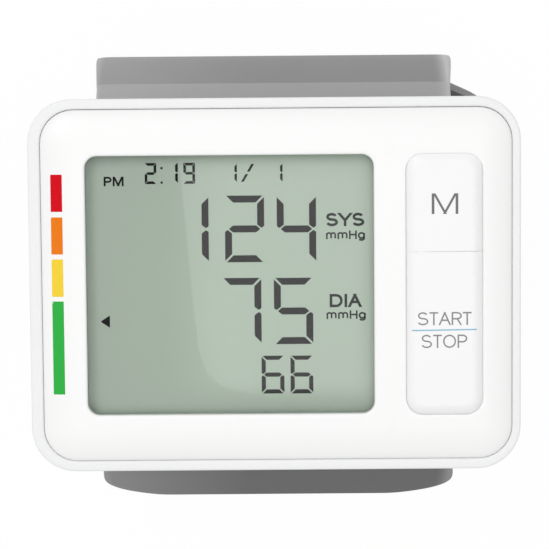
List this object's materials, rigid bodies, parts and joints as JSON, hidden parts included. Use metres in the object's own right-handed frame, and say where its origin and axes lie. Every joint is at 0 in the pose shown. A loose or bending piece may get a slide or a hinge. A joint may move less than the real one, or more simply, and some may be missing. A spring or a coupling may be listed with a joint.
{
  "type": "wrist blood pressure monitor",
  "caption": "Wrist blood pressure monitor: a white crowned case with display and side push buttons on a pre-curled grey fabric cuff whose arm folds open.",
  "frame": {"origin": "middle of the flat foot that the curled cuff rests on, below the middle of the case", "axes": "+Z out of the display, +X to the right of the display, +Y towards the top edge of the display"},
  "size_m": [0.08, 0.0805, 0.0806],
  "materials": {
    "rim_plastic": "light grey moulded plastic, fine satin",
    "white_plastic": "white moulded plastic, soft gloss",
    "button_plastic": "light grey moulded plastic, satin",
    "clear_window": "clear polished plastic",
    "display_glass": "thin display glass",
    "silver_film": "grey green reflective film",
    "dark_plastic": "dark moulded plastic",
    "contact_rubber": "black silicone rubber",
    "board_green": "green solder resist on glass fibre board",
    "bright_steel": "plated steel",
    "grey_foam": "grey foam",
    "clear_hose": "translucent silicone rubber",
    "cell_wrap": "plain printed wrap over a metal can",
    "light_fabric": "light grey brushed fabric",
    "grey_fabric": "grey brushed loop fabric",
    "lining_fabric": "dark grey soft lining",
    "hook_pile": "dark hook tape",
    "bladder_film": "welded film"
  },
  "bodies": {
    "monitor": {"rear_housing": "rim_plastic", "front_panel": "white_plastic", "air_manifold": "white_plastic", "display_window": "clear_window", "lcd_front_plate": "display_glass", "lcd_rear_plate": "display_glass", "lcd_reflector": "silver_film", "lcd_frame": "dark_plastic", "memory_switch": "dark_plastic", "start_stop_switch": "dark_plastic", "controller_chip": "dark_plastic", "pump_head": "dark_plastic", "pressure_sensor": "dark_plastic", "cuff_plate": "dark_plastic", "bladder_port": "dark_plastic", "lcd_contact_strip": "contact_rubber", "port_seal": "contact_rubber", "main_board": "board_green", "pump_motor": "bright_steel", "release_valve": "bright_steel", "battery_bridge": "bright_steel", "battery_contact_negative": "bright_steel", "battery_contact_positive": "bright_steel", "housing_screw_1": "bright_steel", "housing_screw_2": "bright_steel", "housing_screw_3": "bright_steel", "housing_screw_4": "bright_steel", "cuff_screw_1": "bright_steel", "cuff_screw_2": "bright_steel", "cuff_screw_3": "bright_steel", "cuff_screw_4": "bright_steel", "pump_pad": "grey_foam", "pump_hose": "clear_hose", "valve_hose": "clear_hose", "sensor_hose": "clear_hose", "battery_1": "cell_wrap", "battery_2": "cell_wrap", "base_cover": "light_fabric", "base_lining": "lining_fabric", "bladder": "bladder_film"},
    "cuff_arm": {"arm_cover": "grey_fabric", "arm_lining": "lining_fabric", "arm_curler": "dark_plastic", "bladder_wing": "bladder_film"},
    "cuff_tongue": {"tongue_cover": "grey_fabric", "tongue_core": "dark_plastic", "hook_tape": "hook_pile"},
    "memory_key": {"memory_button": "button_plastic", "memory_plunger": "button_plastic"},
    "start_stop_key": {"start_stop_button": "button_plastic", "start_stop_plunger": "button_plastic"},
    "battery_lid": {"battery_cover": "rim_plastic"}
  },
  "joints": [
    {"name": "arm_fold", "type": "hinge", "parent": "monitor", "child": "cuff_arm", "pos_m": [0, 0.03223, 0.0482], "axis": [1, 0, 0], "range_deg": [0, 70], "stiffness_Nm_per_rad": 0.03, "springref_deg": -20.05},
    {"name": "tongue_fold", "type": "hinge", "parent": "monitor", "child": "cuff_tongue", "pos_m": [0, -0.03223, 0.0482], "axis": [1, 0, 0], "range_deg": [-30, 6], "stiffness_Nm_per_rad": 0.02},
    {"name": "memory_press", "type": "slide", "parent": "monitor", "child": "memory_key", "axis": [0, 0, -1], "range_m": [0, 0.0004], "stiffness_N_per_m": 700, "springref_m": -0.0006},
    {"name": "start_stop_press", "type": "slide", "parent": "monitor", "child": "start_stop_key", "axis": [0, 0, -1], "range_m": [0, 0.0004], "stiffness_N_per_m": 700, "springref_m": -0.0006},
    {"name": "cover_slide", "type": "slide", "parent": "monitor", "child": "battery_lid", "axis": [1, 0, 0], "range_m": [0, 0.02]}
  ]
}
